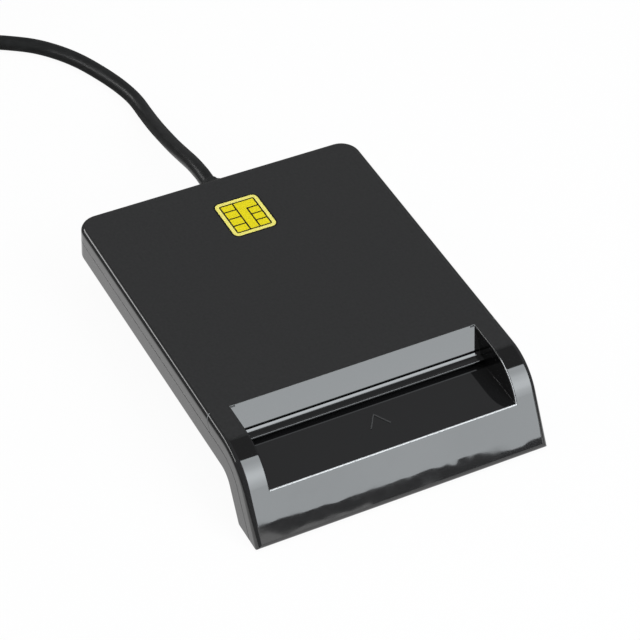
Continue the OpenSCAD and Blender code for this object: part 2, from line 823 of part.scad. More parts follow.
// Board socket for the inner leads, its plug, and the leads in between
lead_pitch = 0.8;
header_t = 0.3;
header_play = 0.2;
header_x = 3.4 * cord_d;
header_l = 4.2;
header_w = 3 * lead_pitch + lead_d + 2 * (header_t + header_play);
header_h = 2.7;
plug_l = 4.4;
header_y = block_rear_y + gap + header_w / 2;
header_z = at(under_board + header_h);
module wire_header() {
    color([0.9, 0.88, 0.8]) translate([header_x, header_y, header_z]) difference() {
        translate([0, -header_w / 2, 0]) cube([header_l, header_w, header_h]);
        translate([-over, header_t - header_w / 2, header_t])
            cube([header_l - header_t + over - gap, header_w - 2 * header_t, header_h - 2 * header_t]);
    }
}
module wire_plug() {
    t = header_t + snug;
    color([0.95, 0.94, 0.88]) translate([header_x, header_y, header_z]) difference() {
        translate([-plug_l / 2, t - header_w / 2, t]) cube([plug_l, header_w - 2 * t, header_h - 2 * t]);
        // latch notch
        translate([-plug_l / 4, -lead_pitch, header_h - 2 * t]) cube([lead_d, 2 * lead_pitch, over]);
    }
}

lead_z = at(under_board + header_h / 2);
function lead_y(i) = header_y + (i - 1.5) * lead_pitch;

// Rounded and smoothed lines: points for each corner or stretch, the share of a stretch that a
// corner may take, and the sides of their tubes
steps = 3;
ease_share = 0.45;
cord_sides = 8;

stub_l = 2.4;
stub_y = rear_y - wall - stub_l;
lead_step = lead_d + 2 * gap;
module lead(i) {
    // 0 and 2 start on the far side of the bundle, 2 and 3 above
    order = [1, 2, 0, 3];
    x = (i % 2 - 0.5) * lead_step;
    z = at(cord_depth) + (floor(i / 2) - 0.5) * lead_step;
    turn_y = stub_y - lead_d - (1 - i % 2) * (lead_step + lead_d / 2);
    y = lead_y(order[i]);
    tube(eased([
        [x, stub_y, z],
        [x, turn_y, z],
        [cord_d, turn_y, z],
        [cord_d + 2 * lead_step, y, z],
        [header_x - plug_l / 2 - 2 * lead_step, y, lead_z],
        [header_x - plug_l / 2, y, lead_z]
    ], lead_d), lead_d, cord_sides);
}
module lead_red() { color([0.7, 0.08, 0.06]) lead(0); }
module lead_white() { color([0.9, 0.9, 0.88]) lead(1); }
module lead_green() { color([0.1, 0.5, 0.2]) lead(2); }
module lead_black() { color([0.07, 0.07, 0.07]) lead(3); }

module cord_stub() {
    color([0.1, 0.1, 0.1]) translate([0, rear_y + flange_t + sleeve_l, at(cord_depth)]) rotate([90, 0, 0])
        cylinder(d = cord_d, h = rear_y + flange_t + sleeve_l - stub_y);
}

// Strain relief: outer flange and short tapered sleeve, groove in the wall, inner flange
module strain_relief() {
    color([0.07, 0.07, 0.07]) difference() {
        union() {
            translate([0, rear_y + flange_t + sleeve_l, at(cord_depth)]) rotate([90, 0, 0])
                cylinder(d1 = cord_d + lead_d, d2 = groove_d + lead_d, h = sleeve_l + snug);
            translate([0, rear_y + flange_t, at(cord_depth)]) rotate([90, 0, 0]) {
                cylinder(d1 = flange_d - 2 * lip_r, d2 = flange_d, h = lip_r);
                translate([0, 0, lip_r]) cylinder(d = flange_d, h = flange_t - lip_r);
                cylinder(d = groove_d, h = flange_t + wall + relief_t);
            }
            translate([-relief_w / 2, rear_y - wall - relief_t, at(cord_depth) - relief_h / 2])
                cube([relief_w, relief_t - snug, relief_h]);
        }
        translate([0, rear_y + over + flange_t + sleeve_l, at(cord_depth)]) rotate([90, 0, 0])
            cylinder(d = cord_d, h = body_l / 4);
    }
}

// A line through corners that are rounded over a distance to each side
function eased(p, r) = concat(
    [p[0]],
    [for (i = [1:len(p) - 2]) let (v = p[i - 1] - p[i], w = p[i + 1] - p[i]) for (k = [0:steps])
        let (t = k / steps, a = v * min(r / norm(v), ease_share), b = w * min(r / norm(w), ease_share))
        p[i] + pow(1 - t, 2) * a + pow(t, 2) * b],
    [p[len(p) - 1]]
);

// Route of the cord's free stretch, from the strain relief to the coil
lead_route = [
    [0, 48, 13.15], [0, 50, 13.15], [0, 52, 13.15], [0.1, 56.5, 12.4], [0.3, 61.5, 10.9], [0.7, 68, 8.8],
    [1.6, 77, 5.9], [2.4, 83, 3.9], [3, 88.5, 2.6], [3.3, 94, 2], [2.9, 98, 1.9],
    [1.7, 103, 1.9], [-0.4, 109, 1.9], [-3, 114.8, 1.9], [-6.4, 120, 1.9], [-10.7, 124.6, 1.9],
    [-16.5, 128.6, 1.9], [-23, 132.1, 2], [-29, 135.2, 2.4], [-34, 137.85, 2.8], [-37, 139.45, 2.8],
    [-40, 141.05, 2.8], [-46, 144.25, 2.8]
];

// Unit vector along a line of points at one of them
function unit(v) = v / norm(v);
function along(points, i) =
    i == 0 ? unit(points[1] - points[0]) :
    i == len(points) - 1 ? unit(points[i] - points[i - 1]) :
    unit(unit(points[i] - points[i - 1]) + unit(points[i + 1] - points[i]));

// A tube of a few sides along points that never run straight up
module tube(points, d, sides) {
    n = len(points);
    rings = [for (i = [0:n - 1])
        let (a = along(points, i), u = unit(cross(a, [0, 0, 1])), v = cross(u, a))
        for (k = [0:sides - 1]) points[i] + d / 2 * (cos(360 * k / sides) * u + sin(360 * k / sides) * v)];
    walls = [for (i = [0:n - 2]) for (k = [0:sides - 1])
        let (a = i * sides + k, b = i * sides + (k + 1) % sides)
        for (face = [[a, b, b + sides], [a, b + sides, a + sides]]) face];
    first = [for (k = [1:sides - 2]) [0, k + 1, k]];
    last = [for (k = [1:sides - 2]) [(n - 1) * sides, (n - 1) * sides + k, (n - 1) * sides + k + 1]];
    polyhedron(points = rings, faces = concat(walls, first, last), convexity = 10);
}

// Points along a smooth curve through the route
function mix(p, i, t) =
    let (a = p[max(i - 1, 0)], b = p[i], c = p[i + 1], e = p[min(i + 2, len(p) - 1)])
    b + ((c - a) * t + (2 * a - 5 * b + 4 * c - e) * pow(t, 2) + (3 * b - a - 3 * c + e) * pow(t, 3)) / 2;
function smooth(p) = concat(
    [for (i = [0:len(p) - 2]) for (k = [0:steps - 1]) mix(p, i, k / steps)],
    [p[len(p) - 1]]
);

module cord_lead() {
    color([0.1, 0.1, 0.1]) tube(smooth(lead_route), cord_d, cord_sides);
}

// The coil: one unbroken tube that spirals in and out in flat layers. The join with the free
// stretch is its outer start, and its other end leaves the top layer's outer loop.
route_end = lead_route[len(lead_route) - 1];
route_dir = unit(route_end - lead_route[len(lead_route) - 2]);
coil_side = [route_dir[1], -route_dir[0], 0];
coil_span = coil_turns * coil_pitch;
coil_out = coil_r + coil_span / 2;
coil_mid = route_end + cord_d * route_dir + coil_out * coil_side;
coil_start = atan2(-coil_side[1], -coil_side[0]);
// The tail leaves where the coil's outer loop is farthest from the reader, along +X
tail_way = 90;
coil_whole = coil_layers * coil_turns;
coil_more = (coil_start - tail_way) / 360 + 1;
coil_total = coil_whole + coil_more;
climb_share = 0.25;
// Radius and layer after a number of turns, with half a turn to climb where the spiral reverses
function wave(s) = let (m = s % 2) m < 1 ? m : 2 - m;
function loop_r(turn) =
    turn > coil_whole ? coil_out + coil_pitch * (turn - coil_whole) :
    coil_out - coil_span * wave(turn / coil_turns);
function climb(turn) = let (k = round(turn / coil_turns), u = turn - k * coil_turns)
    k < 1 || k >= coil_layers ? min(floor(turn / coil_turns), coil_layers - 1) :
    u < -climb_share ? k - 1 : u > climb_share ? k :
    k - 1 + (1 - cos(90 * (u / climb_share + 1))) / 2;
function loop_point(turn) = let (a = coil_start - 360 * turn, r = loop_r(turn))
    coil_mid + [r * cos(a), r * sin(a), climb(turn) * coil_step];
coil_count = ceil(coil_total * coil_rings);
coil_body = [for (i = [0:coil_count]) loop_point(coil_total * i / coil_count)];
coil_end = coil_body[len(coil_body) - 1];
end_dir = [sin(tail_way), -cos(tail_way), 0];
coil_points = concat([route_end], coil_body, [coil_end + cord_d * end_dir]);

// Least distance between the middles of loops more than a third of a turn apart, less the cord
apart = floor(coil_rings / 3);
coil_gap = min([for (i = [0:len(coil_points) - 1]) for (j = [i + apart:1:len(coil_points) - 1])
    norm(coil_points[i] - coil_points[j])]) - cord_d;
echo(coil_gap = coil_gap);

module cord_coil() {
    color([0.1, 0.1, 0.1]) tube(coil_points, cord_d, coil_sides);
}

// Wire tie round the coil's bundle, on the side away from the cord's start
tie_turn = 0.7;
tie_a = coil_start - 360 * tie_turn;
tie_out = coil_out + cord_d / 2 + 2 * gap;
tie_in = coil_r - coil_span / 2 - cord_d / 2 - 2 * gap;
tie_top = route_end[2] + (coil_layers - 1) * coil_step + cord_d / 2 + 2 * gap;
module cord_tie() {
    color([0.12, 0.12, 0.12]) translate([coil_mid[0], coil_mid[1], 0]) rotate([0, 0, tie_a])
        translate([0, tie_w / 2, 0]) rotate([90, 0, 0]) linear_extrude(tie_w) difference() {
            translate([tie_in - tie_t, 0]) square([tie_out - tie_in + 2 * tie_t, tie_top + tie_t]);
            translate([tie_in, tie_t]) square([tie_out - tie_in, tie_top - tie_t]);
        }
}

// The cord's last stretch, from the coil to the plug that lies on the floor beside it
tail_start = coil_end + cord_d * end_dir;
tail_shape = [
    [0, 0], [3, 0], [5, 0], [9, -1], [14, -3.7], [19, -7.2], [24, -10.2], [27, -11.1], [29, -11.25],
    [31, -11.25], [40, -11.25]
];
tail_route = [for (p = tail_shape) tail_start + p[0] * end_dir + [0, 0, p[1]]];
module cord_tail() {
    points = concat(smooth(tail_route), [plug_at + grip_r * end_dir]);
    color([0.1, 0.1, 0.1]) tube(points, cord_d, cord_sides);
}

// Plug: the grip lies on the floor, its axis along the tail
plug_at = tail_route[len(tail_route) - 1];
plug_turn = atan2(end_dir[1], end_dir[0]);
module plug_place() {
    translate([plug_at[0], plug_at[1], grip_h / 2]) rotate([0, 0, plug_turn]) children();
}
grip_r = 1.6;
groove_count = 4;
boot_d = 6.4;
boot_end_d = 4.6;
module usb_grip() {
    color([0.1, 0.1, 0.1]) plug_place() difference() {
        union() {
            rotate([90, 0, 90]) linear_extrude(grip_l) difference() {
                translate([-grip_w / 2, -grip_h / 2]) square([grip_w, grip_h]);
                for (sx = [0, 1]) mirror([sx, 0]) for (sy = [0, 1]) mirror([0, sy])
                    translate([grip_w / 2 - grip_r, grip_h / 2 - grip_r]) corner_cut(grip_r);
            }
            translate([-boot_l, 0, 0]) rotate([0, 90, 0]) cylinder(d1 = boot_end_d, d2 = boot_d, h = boot_l);
        }
        translate([-boot_l - over, 0, 0]) rotate([0, 90, 0])
            cylinder(d = cord_d, h = boot_l + over + grip_r);
        translate([grip_l - grip_r, -shell_w / 2 - snug, -shell_h / 2 - snug])
            cube([over + grip_r, shell_w + 2 * snug, shell_h + 2 * snug]);
        // grooves for the fingers
        for (i = [0:groove_count - 1]) for (side = [0, 1]) mirror([0, side, 0])
            translate([grip_l / 3 + i * grip_r, grip_w / 2, -grip_h])
                cylinder(d = grip_r / 2, h = 2 * grip_h);
        // flats that the boot's relief slots leave, to let it bend
        for (i = [0:groove_count - 1]) for (side = [0, 1]) mirror([0, 0, side])
            translate([i * boot_slot_w * 2 - boot_l + boot_slot_w, -boot_d, cord_d / 2 + gap])
                cube([boot_slot_w, 2 * boot_d, boot_d]);
    }
}
boot_slot_w = 0.9;

// Sheet metal shell with its four latch windows
window_w = 2.5;
window_l = 2;
window_in = 5.5;
window_share = 0.21;
module usb_shell() {
    color("silver") plug_place() translate([grip_l - grip_r, 0, 0]) difference() {
        translate([0, -shell_w / 2, -shell_h / 2]) cube([shell_l + grip_r, shell_w, shell_h]);
        translate([grip_r, -shell_w / 2 + shell_t, -shell_h / 2 + shell_t])
            cube([shell_l + over, shell_w - 2 * shell_t, shell_h - 2 * shell_t]);
        for (side = [-1, 1])
            translate([grip_r + window_in, side * shell_w * window_share - window_l / 2, -shell_h])
                cube([window_w, window_l, 2 * shell_h]);
    }
}

// Moulded tongue in the shell, with four contacts let into its face
usb_tongue_t = 1.84;
usb_pitch = 2;
usb_contact_w = 1;
usb_contact_l = 8.6;
usb_ground_more = 1;
usb_tongue_w = shell_w - 2 * shell_t - 2 * snug;
usb_face_z = -shell_h / 2 + shell_t + usb_tongue_t;
module usb_tongue() {
    color([0.92, 0.92, 0.9]) plug_place() translate([grip_l, 0, 0]) difference() {
        translate([0, -usb_tongue_w / 2, usb_face_z - usb_tongue_t])
            cube([shell_l - 2 * shell_t, usb_tongue_w, usb_tongue_t]);
        for (i = [0:3])
            translate([0, (i - 1.5) * usb_pitch - usb_contact_w / 2 - snug, usb_face_z - shell_t / 2])
                cube([shell_l, usb_contact_w + 2 * snug, shell_t]);
    }
}
module usb_contacts() {
    color("gold") plug_place() translate([grip_l, 0, 0]) for (i = [0:3])
        translate([0, (i - 1.5) * usb_pitch - usb_contact_w / 2, usb_face_z - shell_t / 2])
            cube([usb_contact_l + (i % 3 == 0 ? usb_ground_more : 0), usb_contact_w, shell_t / 2 + snug]);
}

top_cover();
bottom_cover();
rubber_feet();
housing_screws();
main_board();
board_screws();
contact_block();
contact_tails();
contact_1();
contact_2();
contact_3();
contact_4();
contact_5();
contact_6();
contact_7();
contact_8();
switch_base();
switch_lever();
reader_chip();
crystal();
board_passives();
wire_header();
wire_plug();
lead_red();
lead_white();
lead_green();
lead_black();
cord_stub();
strain_relief();
cord_lead();
cord_coil();
cord_tie();
cord_tail();
usb_grip();
usb_shell();
usb_tongue();
usb_contacts();
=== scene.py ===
import math

import bpy
from mathutils import Matrix, Vector


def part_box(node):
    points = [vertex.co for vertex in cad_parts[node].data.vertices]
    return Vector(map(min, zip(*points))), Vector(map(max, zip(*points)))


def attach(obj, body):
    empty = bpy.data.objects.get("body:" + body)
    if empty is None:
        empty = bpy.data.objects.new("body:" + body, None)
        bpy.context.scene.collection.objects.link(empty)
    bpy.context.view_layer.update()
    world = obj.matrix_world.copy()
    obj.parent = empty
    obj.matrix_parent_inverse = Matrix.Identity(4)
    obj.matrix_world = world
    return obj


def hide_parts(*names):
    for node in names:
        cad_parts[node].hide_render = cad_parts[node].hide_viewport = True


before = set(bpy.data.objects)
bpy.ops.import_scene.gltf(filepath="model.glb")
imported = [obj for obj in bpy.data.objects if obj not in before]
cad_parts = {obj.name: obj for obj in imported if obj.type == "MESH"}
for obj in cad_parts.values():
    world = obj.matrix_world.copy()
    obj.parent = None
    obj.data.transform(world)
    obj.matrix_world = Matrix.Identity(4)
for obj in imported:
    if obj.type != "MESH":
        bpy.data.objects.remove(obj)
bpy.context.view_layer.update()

scene = bpy.context.scene
scene.view_settings.view_transform = "Standard"
mm = 0.001

# Camera: a long lens in front of the reader, to its left and above it, as for a catalogue picture.
# Its place and angles were fitted to the housing's straight edges in the photograph.
camera_place = Vector((-199.96, -355.18, 394.40)) * mm
camera_heading, camera_drop, camera_roll = 29.759, 43.139, 3.320
camera_data = bpy.data.cameras.new("camera")
camera_data.lens = 147.93
camera_data.sensor_width = 36
camera_data.clip_start = 0.01
camera = bpy.data.objects.new("camera", camera_data)
scene.collection.objects.link(camera)
scene.camera = camera
camera.matrix_world = (
    Matrix.Translation(camera_place)
    @ Matrix.Rotation(math.radians(-camera_heading), 4, "Z")
    @ Matrix.Rotation(math.radians(90 - camera_drop), 4, "X")
    @ Matrix.Rotation(math.radians(camera_roll), 4, "Z")
)


# Cord: round black PVC cable with four leads inside, 3.6 mm thick and 1.2 m long. It comes straight
# out of the rear wall, sinks to the table, and the length that isn't needed lies in a coil beside
# the reader, held by a tie, with the plug next to it.
class Wire:
    """A socket in a material's nodes. Arithmetic on wires adds Math nodes, node() adds others."""

    def __init__(self, tree, socket=None):
        self.tree = tree
        self.socket = socket

    def node(self, kind, settings=(), inputs=(), output=0):
        """Adds a node: first its settings, then the values or wires of its sockets."""
        made = self.tree.nodes.new("ShaderNode" + kind)
        for name, value in dict(settings).items():
            setattr(made, name, value)
        for name, value in dict(inputs).items():
            if isinstance(value, Wire):
                self.tree.links.new(value.socket, made.inputs[name])
            else:
                made.inputs[name].default_value = value
        return Wire(self.tree, made.outputs[output] if made.outputs else None)

    def maths(self, operation, *values):
        return self.node("Math", {"operation": operation}, enumerate(values))

    def __add__(self, other):
        return self.maths("ADD", self, other)

    __radd__ = __add__

    def __sub__(self, other):
        return self.maths("SUBTRACT", self, other)

    def __rsub__(self, other):
        return self.maths("SUBTRACT", other, self)

    def __mul__(self, other):
        return self.maths("MULTIPLY", self, other)

    __rmul__ = __mul__

    def __truediv__(self, other):
        return self.maths("DIVIDE", self, other)

    def ramp(self, low, high):
        """0 below low and 1 above high, on a smooth curve between them."""
        settings = {"interpolation_type": "SMOOTHSTEP"}
        return self.node("MapRange", settings, {"Value": self, "From Min": low, "From Max": high})

    def between(self, first, second):
        """The colour between two colours that this wire, as a share, stands for."""
        return self.node("Mix", {"data_type": "RGBA"}, {0: self, 6: first, 7: second}, 2)

    def aim(self, first, second):
        """A unit vector that turns from one vector to another as this wire, a share, grows."""
        way = self.node("Mix", {"data_type": "VECTOR"}, {0: self, 4: first, 5: second}, 1)
        return self.node("VectorMath", {"operation": "NORMALIZE"}, {0: way})

    def noise(self, size, detail=2.0, rough=0.5):
        """Even noise from 0 to 1 over the piece, with lumps of about this size in metres."""
        place = self.node("TexCoord", output="Object")
        inputs = {"Vector": place, "Scale": 1 / size, "Detail": detail, "Roughness": rough}
        return self.node("TexNoise", (), inputs)

    def axis(self, name):
        """The place along X, Y or Z, in millimetres."""
        place = self.node("TexCoord", output="Object")
        return self.node("SeparateXYZ", (), {"Vector": place}, name) / mm


def new_material(name):
    material = bpy.data.materials.new(name)
    material.use_nodes = True
    material.node_tree.nodes.clear()
    return material, Wire(material.node_tree)


def shade(start, sockets, relief, depth, normal=None):
    """Ends a material: the shader with these sockets, over a relief that is depth metres high. The
    relief lies on the surface's own normal, or on the one that is given."""
    bump = {"Strength": 1.0, "Distance": depth, "Height": relief}
    if normal is not None:
        bump["Normal"] = normal
    shader = start.node("BsdfPrincipled", (), {**sockets, "Normal": start.node("Bump", (), bump)})
    start.node("OutputMaterial", (), {"Surface": shader})


def cable_jacket(name, colour, gloss):
    """Extruded PVC: an even colour with a bloom of dust, and a skin that is faintly uneven."""
    material, start = new_material(name)
    bloom = start.noise(3 * mm, 3.0).ramp(0.35, 0.8)
    skin = start.noise(0.35 * mm, 2.0)
    dusty = [c * 1.3 + 0.003 for c in colour] + [1]
    shade(start, {
        "Base Color": bloom.between([*colour, 1], dusty),
        "Roughness": gloss + 0.1 * bloom + 0.06 * skin,
        "IOR": 1.54,
    }, skin, 0.006 * mm)
    return material


cord_d = 3.6 * mm

# The free stretch from the rear wall to the coil, in millimetres.
lead_route = [
    (0, 48, 13.15), (0, 50, 13.15), (0, 52, 13.15), (0.1, 56.5, 12.4), (0.3, 61.5, 10.9),
    (0.7, 68, 8.8), (1.6, 77, 5.9), (2.4, 83, 3.9), (3, 88.5, 2.6), (3.3, 94, 2), (2.9, 98, 1.9),
    (1.7, 103, 1.9), (-0.4, 109, 1.9), (-3, 114.8, 1.9), (-6.4, 120, 1.9), (-10.7, 124.6, 1.9),
    (-16.5, 128.6, 1.9), (-23, 132.1, 2), (-29, 135.2, 2.4), (-34, 137.85, 2.8), (-37, 139.45, 2.8),
    (-40, 141.05, 2.8), (-46, 144.25, 2.8),
]

# The tail from the coil to the plug, as (x, z) from the coil's end, in millimetres.
tail_shape = [
    (0, 0), (3, 0), (5, 0), (9, -1), (14, -3.7), (19, -7.2), (24, -10.2), (27, -11.1), (29, -11.25),
    (31, -11.25), (40, -11.25), (41.6, -11.25),
]
coil_r, coil_pitch, layer_step = 19 * mm, 4.1 * mm, 4.15 * mm
coil_layers, layer_turns = 4, 2
climb_share = 0.25
stretch_steps, turn_rings = 6, 64


def smooth_line(points, steps):
    """Points along a curve that passes through all of these, with steps for each stretch."""
    line = []
    for i in range(len(points) - 1):
        before, a, b, after = (points[min(max(j, 0), len(points) - 1)] for j in range(i - 1, i + 3))
        for step in range(steps):
            t = step / steps
            line.append((
                2 * a + (b - before) * t + (2 * before - 5 * a + 4 * b - after) * t ** 2
                + (3 * a - before - 3 * b + after) * t ** 3
            ) / 2)
    return line + [points[-1]]


def coil_line(start, forward, rings):
    """The coil's turns, with rings for each: a spiral that winds in and out again, one layer above
    the other. It runs clockwise from the end of the free stretch, and ends along +X."""
    side = Vector((forward.y, -forward.x, 0))
    spiral = layer_turns * coil_pitch
    outer = coil_r + spiral / 2
    centre = start + cord_d * forward + outer * side
    first = math.atan2(-side.y, -side.x)
    whole = coil_layers * layer_turns
    total = whole + 1 + (first - math.pi / 2) / (2 * math.pi)
    count = math.ceil(total * rings)
    line = []
    for ring in range(count + 1):
        turn = total * ring / count
        wave = (turn / layer_turns) % 2
        radius = outer - spiral * (wave if wave < 1 else 2 - wave)
        if turn > whole:
            radius = outer + coil_pitch * (turn - whole)
        layer = round(turn / layer_turns)
        past = turn - layer * layer_turns
        if layer < 1 or layer >= coil_layers:
            height = min(math.floor(turn / layer_turns), coil_layers - 1)
        elif past < -climb_share:
            height = layer - 1
        elif past > climb_share:
            height = layer
        else:
            height = layer - 1 + (1 - math.cos(math.pi / 2 * (past / climb_share + 1))) / 2
        angle = first - 2 * math.pi * turn
        place = (radius * math.cos(angle), radius * math.sin(angle), height * layer_step)
        line.append(centre + Vector(place))
    return line


lead_line = smooth_line([Vector(place) * mm for place in lead_route], stretch_steps)
lead_end = Vector(lead_route[-1]) * mm
coil_entry = (lead_end - Vector(lead_route[-2]) * mm).normalized()
coil_turns = coil_line(lead_end, coil_entry, turn_rings)
tail_way = Vector((1, 0, 0))
tail_start = coil_turns[-1] + cord_d * tail_way
tail_places = [tail_start + x * mm * tail_way + Vector((0, 0, z * mm)) for x, z in tail_shape]
tail_line = smooth_line(tail_places, stretch_steps)
cord_line = lead_line + coil_turns + tail_line
curve = bpy.data.curves.new("usb_cord", "CURVE")
curve.dimensions = "3D"
curve.bevel_depth = cord_d / 2
curve.bevel_resolution = 6
curve.use_fill_caps = True
spline = curve.splines.new("POLY")
spline.points.add(len(cord_line) - 1)
spline.use_smooth = True
for point, place in zip(spline.points, cord_line):
    point.co = (*place, 1)
usb_cord = bpy.data.objects.new("usb_cord", curve)
scene.collection.objects.link(usb_cord)
jacket_black = cable_jacket("jacket_black", (0.008, 0.0085, 0.0084), 0.3)
curve.materials.append(jacket_black)
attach(usb_cord, "housing")
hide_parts("cord_lead", "cord_coil", "cord_tail")


# Strain relief, pads and cord stub: a moulded rubber bushing that is pressed into the rear wall,
# four round rubber pads under the housing, and the end of the cable's jacket behind the bushing.
def moulded_rubber(name, colour, grain):
    """Soft moulded rubber: dull, with a fine eroded grain and a little dust."""
    material, start = new_material(name)
    speckle = start.noise(grain, 3.0, 0.6)
    dust = start.noise(2 * mm, 2.0).ramp(0.45, 0.85)
    shade(start, {
        "Base Color": dust.between([*colour, 1], [c * 1.7 + 0.006 for c in colour] + [1]),
        "Roughness": 0.5 + 0.2 * speckle,
        "IOR": 1.5,
    }, speckle, grain / 12)
    return material


def dress(material, *names):
    """Gives CAD nodes their material."""
    for name in names:
        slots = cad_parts[name].data.materials
        slots.clear()
        slots.append(material)


dress(moulded_rubber("bushing_rubber", (0.014, 0.0145, 0.0145), 0.12 * mm), "strain_relief")
dress(moulded_rubber("feet_rubber", (0.022, 0.022, 0.022), 0.2 * mm), "rubber_feet")
dress(jacket_black, "cord_stub")


# Covers: two black shells moulded in glossy plastic. The top plate is eroded to an even satin; the
# bend, the front face, the recess and the side bands are polished like a mirror. A pale painted
# highlight runs along the recess's front lip and the rim of its right cheek.
#
# The bezel over the card slot: (y, z) of its foot and its half width in millimetres, its slope in
# degrees, and the ways that it mirrors at its left and its right end.
bezel_foot, bezel_hw, bezel_tilt = (-23.43, 13.26), 28, 57.6
bezel_ways = ((0.020, -0.584, 0.811), (-0.095, -0.577, 0.811))

# In millimetres: (y, z) of the front lip's edge and of the bend's middle, the bend's radius, and
# how far the right cheek stands from the middle.
lip_edge, bend_middle, bend_r = (-39.41, 10.5), (-28.16, 4.9), 12.5
cheek_x = 28.62

# The painted highlight along the edges, in millimetres: how far it reaches from the lip's edge, its
# depth and half width on the cheek's rim, and where it fades there to the rear and to the foot.
lip_highlight, rim_depth, rim_hw = (0.1, 0.22), 0.14, 0.12
rim_rear, rim_low = (-32.5, -31), (10.3, 10.5)
highlight_white = (0.6, 0.61, 0.62, 1)

cover_edge_r, wave_depth = 0.2 * mm, 0.005 * mm
cover_ior, bevel_samples = 1.86, 6
bezel_layer, satin_layer = 0.06, 0.08
foot_heights, right_end = (4.5, 8), (14, 26)


def painted_edge_highlight(start):
    """1 along the edges with a painted highlight: the recess's front lip and the right cheek's rim.
    """
    x, y, z = start.axis("X"), start.axis("Y"), start.axis("Z")

    def distance(place):
        beside, above = y - place[0], z - place[1]
        return start.maths("SQRT", beside * beside + above * above)

    lip = (1 - distance(lip_edge).ramp(*lip_highlight)) * start.maths("COMPARE", x, 0.0, cheek_x)
    skin = start.maths("GREATER_THAN", distance(bend_middle), bend_r - rim_depth)
    beside_recess = start.maths("COMPARE", x, cheek_x, rim_hw)
    rim = beside_recess * skin * (1 - y.ramp(*rim_rear)) * z.ramp(*rim_low)
    return (lip + rim) * start.noise(1.5 * mm, 2.0).ramp(0.15, 0.4)


def cover_plastic(name, colour, edge_r, satin_from=None, right_lean=0.0):
    """Polished black plastic, and satin above a height in millimetres where one is given. Edges are
    rounded in the shading, and the faces have the faint waves that a moulding has. A right lean
    turns the mirror of the right end towards the middle, past the recess's cheek."""
    material, start = new_material(name)
    flow = start.noise(14 * mm, 2.0)
    polished_colour = flow.between([*colour, 1], [c * 1.25 for c in colour] + [1])
    polish = 0.02 + 0.03 * start.noise(6 * mm, 3.0).ramp(0.4, 0.8)
    sockets = {"Base Color": polished_colour, "Roughness": polish, "IOR": cover_ior}
    foot = 1 - start.axis("Z").ramp(*foot_heights)
    waves = start.noise(7 * mm, 1.0) + 5 * foot * start.noise(11 * mm, 2.0)
    normal = start.node("Bevel", {"samples": bevel_samples}, {"Radius": edge_r})
    if satin_from is None:
        if right_lean:
            turn = -right_lean * start.axis("X").ramp(*right_end)
            turn = start.node("CombineXYZ", (), {0: turn})
            normal = start.node("VectorMath", {"operation": "ADD"}, {0: normal, 1: turn})
            normal = start.node("VectorMath", {"operation": "NORMALIZE"}, {0: normal})
        shade(start, sockets, waves, wave_depth, normal)
        return material
    satin = start.axis("Z").ramp(satin_from, satin_from + satin_layer)
    grain = start.noise(0.11 * mm, 2.0, 0.6)
    worn = start.noise(22 * mm, 3.0).ramp(0.3, 0.8)
    satin_gloss = 0.36 + 0.03 * worn + 0.03 * grain
    dark, light = [c * 0.3 for c in colour] + [1], [c * 1.5 + 0.015 for c in colour] + [1]
    satin_colour = start.noise(0.6 * mm, 2.0).between(dark, light)
    plain = satin.between(polished_colour, satin_colour)
    # The pale colour along the lip and the cheek's rim is a painted highlight, broken up by noise.
    sockets["Base Color"] = painted_edge_highlight(start).between(plain, highlight_white)
    sockets["Roughness"] = polish + satin * (satin_gloss - polish)
    across, up = math.sin(math.radians(bezel_tilt)), math.cos(math.radians(bezel_tilt))
    behind, above = start.axis("Y") - bezel_foot[0], start.axis("Z") - bezel_foot[1]
    on_bezel = start.maths("COMPARE", above * up - behind * across, 0.0, bezel_layer) * (1 - satin)
    bezel_way = start.axis("X").ramp(-bezel_hw, bezel_hw).aim(*bezel_ways)
    normal = on_bezel.aim(normal, bezel_way)
    shade(start, sockets, waves * (1 - satin) + 0.8 * grain * satin, wave_depth, normal)
    return material


top_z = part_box("top_cover")[1].z
satin_z = top_z / mm - 0.1
dress(cover_plastic("cover_black", (0.006, 0.006, 0.0063), cover_edge_r, satin_z), "top_cover")
dress(cover_plastic("cover_lower", (0.0065, 0.0065, 0.0068), cover_edge_r), "bottom_cover")


# Slot lip: a thin glossy strip that the card slides in under. It stands out from the slot at the
# bezel's foot, and its rear edge turns up in front of the bezel.
def begin_piece(name):
    """Opens edit mode on a new plane for a flat piece, of unit size and at the origin."""
    bpy.ops.object.select_all(action="DESELECT")
    bpy.ops.mesh.primitive_plane_add(size=1)
    bpy.context.object.name = name
    bpy.context.object.data.name = name
    bpy.ops.object.mode_set(mode="EDIT")


def choose(test):
    """Selects the vertices of the piece in edit mode whose place passes the test."""
    bpy.ops.mesh.select_all(action="DESELECT")
    bpy.ops.object.mode_set(mode="OBJECT")
    for vertex in bpy.context.object.data.vertices:
        vertex.select = test(vertex.co)
    bpy.ops.object.mode_set(mode="EDIT")


def end_piece(material):
    """Leaves edit mode and fixes the finished piece to the housing."""
    bpy.ops.object.mode_set(mode="OBJECT")
    piece = bpy.context.object
    piece.data.materials.append(material)
    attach(piece, "housing")
    return piece


# (y, z) of the strip's section, from its lower front edge over the top to the rear, in millimetres.
lip_section = (
    (-26.0, 11.42), (-26.03, 11.5), (-26.03, 11.78), (-25.99, 11.82), (-24.4, 11.82),
    (-24.28, 11.86), (-24.16, 11.95), (-23.86, 12.27), (-23.8, 12.3), (-23.74, 12.26),
    (-23.55, 11.95), (-22.5, 11.86),
)
lip_hw = 28.55 * mm
lip_edge_r, lip_lean = 0.02 * mm, 0.14
near = 0.01 * mm

